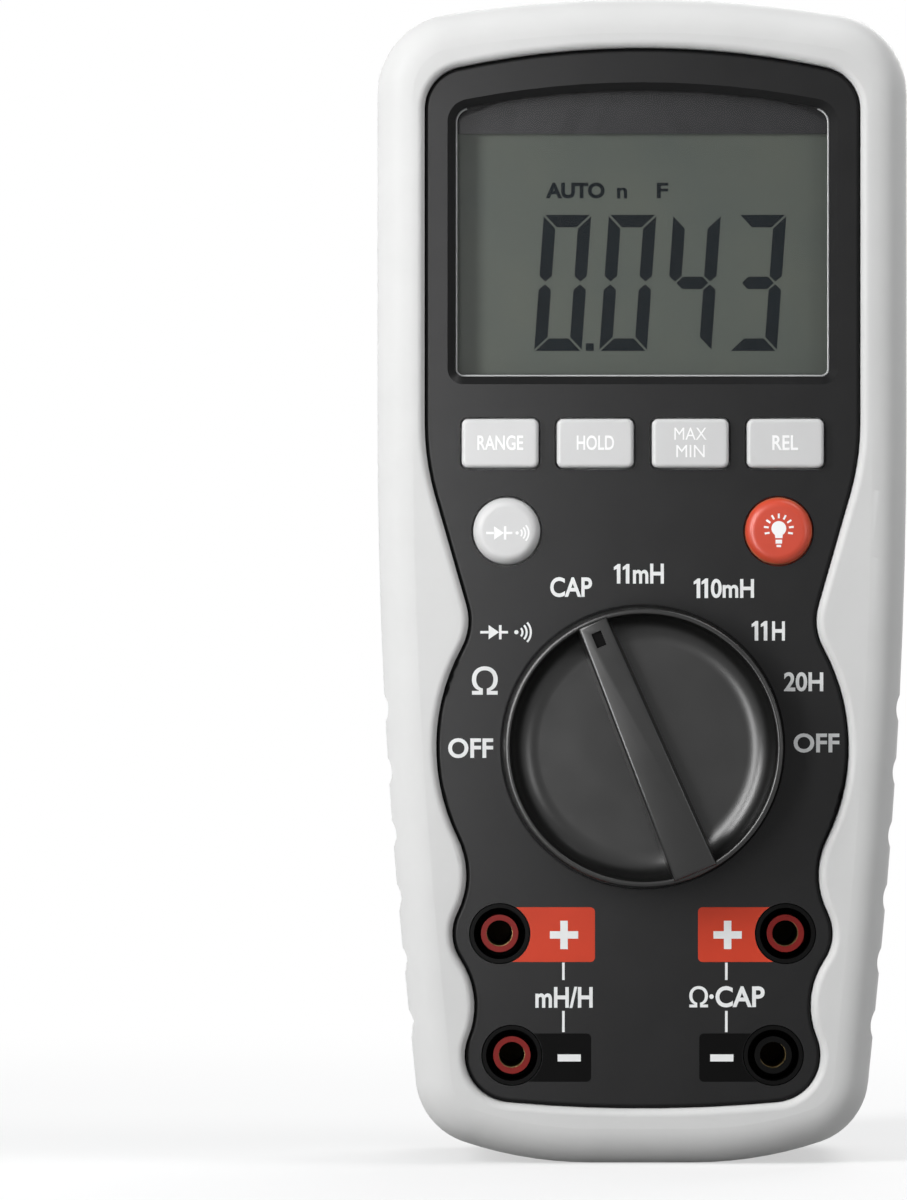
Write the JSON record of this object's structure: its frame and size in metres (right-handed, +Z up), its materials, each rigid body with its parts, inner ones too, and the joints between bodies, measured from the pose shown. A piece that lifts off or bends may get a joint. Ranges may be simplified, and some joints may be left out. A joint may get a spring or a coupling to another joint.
{
  "type": "handheld component tester",
  "caption": "Handheld meter with a pale two-part jacket, a wavy dark panel, a display, soft keys, a dished selector knob, test sockets and a fold-out stand on the back.",
  "frame": {"origin": "middle of the bounding box's underside, where the meter stands on its lower end", "axes": "+X to the right of someone who faces the display, +Y from the front to the back, +Z up"},
  "size_m": [0.0824, 0.055, 0.1812],
  "materials": {
    "jacket": "pale grey moulded jacket, satin",
    "panel": "charcoal moulding, fine matte grain",
    "rear_shell": "charcoal moulding, matte",
    "window": "clear acrylic, polished",
    "lcd": "grey-green display glass",
    "white_plastic": "white moulding",
    "inner_rubber": "grey silicone",
    "grey_key": "grey silicone, satin",
    "red_key": "red-orange silicone, satin",
    "knob": "black moulding, satin",
    "steel": "plated steel",
    "brass": "turned or stamped brass",
    "black_plastic": "black moulding",
    "red_sleeve": "red moulding",
    "black_sleeve": "black moulding",
    "board": "green circuit board laminate",
    "black_rubber": "soft black rubber",
    "battery": "plain dark wrapped can"
  },
  "bodies": {
    "case": {"front_jacket": "jacket", "rear_jacket": "jacket", "front_panel": "panel", "rear_case": "rear_shell", "display_window": "window", "lcd_glass": "lcd", "lcd_frame": "white_plastic", "backlight_box": "white_plastic", "zebra_strip": "inner_rubber", "keypad_mat": "inner_rubber", "detent_ring": "white_plastic", "main_board": "board", "measuring_chip": "black_plastic", "buzzer": "black_plastic", "battery_door": "rear_shell", "door_screws": "steel", "case_screws": "steel", "battery": "battery", "battery_snap": "black_plastic", "jack_well_upper_left": "black_plastic", "jack_sleeve_upper_left": "red_sleeve", "jack_contact_upper_left": "brass", "jack_well_upper_right": "black_plastic", "jack_sleeve_upper_right": "red_sleeve", "jack_contact_upper_right": "brass", "jack_well_lower_left": "black_plastic", "jack_sleeve_lower_left": "red_sleeve", "jack_contact_lower_left": "brass", "jack_well_lower_right": "black_plastic", "jack_sleeve_lower_right": "black_sleeve", "jack_contact_lower_right": "brass"},
    "knob": {"selector_knob": "knob", "switch_rotor": "white_plastic", "rotor_screw": "steel", "detent_balls": "steel", "detent_springs": "steel", "wiper_contacts": "brass"},
    "stand": {"tilt_stand": "rear_shell", "stand_foot": "black_rubber"},
    "range_key_body": {"range_key": "grey_key"},
    "hold_key_body": {"hold_key": "grey_key"},
    "peak_key_body": {"peak_key": "grey_key"},
    "relative_key_body": {"relative_key": "grey_key"},
    "tone_key_body": {"tone_key": "grey_key"},
    "light_key_body": {"light_key": "red_key"}
  },
  "joints": [
    {"name": "selector_turn", "type": "hinge", "parent": "case", "child": "knob", "pos_m": [0, 0, 0.0648], "axis": [0, -1, 0], "range_deg": [-112.5, 67.5]},
    {"name": "stand_fold", "type": "hinge", "parent": "case", "child": "stand", "pos_m": [0, 0.0244, 0.1197], "axis": [1, 0, 0], "range_deg": [0, 40]},
    {"name": "range_key_press", "type": "slide", "parent": "case", "child": "range_key_body", "axis": [0, 1, 0], "range_m": [0, 0.001], "stiffness_N_per_m": 900, "springref_m": -0.0004},
    {"name": "hold_key_press", "type": "slide", "parent": "case", "child": "hold_key_body", "axis": [0, 1, 0], "range_m": [0, 0.001], "stiffness_N_per_m": 900, "springref_m": -0.0004},
    {"name": "peak_key_press", "type": "slide", "parent": "case", "child": "peak_key_body", "axis": [0, 1, 0], "range_m": [0, 0.001], "stiffness_N_per_m": 900, "springref_m": -0.0004},
    {"name": "relative_key_press", "type": "slide", "parent": "case", "child": "relative_key_body", "axis": [0, 1, 0], "range_m": [0, 0.001], "stiffness_N_per_m": 900, "springref_m": -0.0004},
    {"name": "tone_key_press", "type": "slide", "parent": "case", "child": "tone_key_body", "axis": [0, 1, 0], "range_m": [0, 0.001], "stiffness_N_per_m": 900, "springref_m": -0.0004},
    {"name": "light_key_press", "type": "slide", "parent": "case", "child": "light_key_body", "axis": [0, 1, 0], "range_m": [0, 0.001], "stiffness_N_per_m": 900, "springref_m": -0.0004}
  ]
}
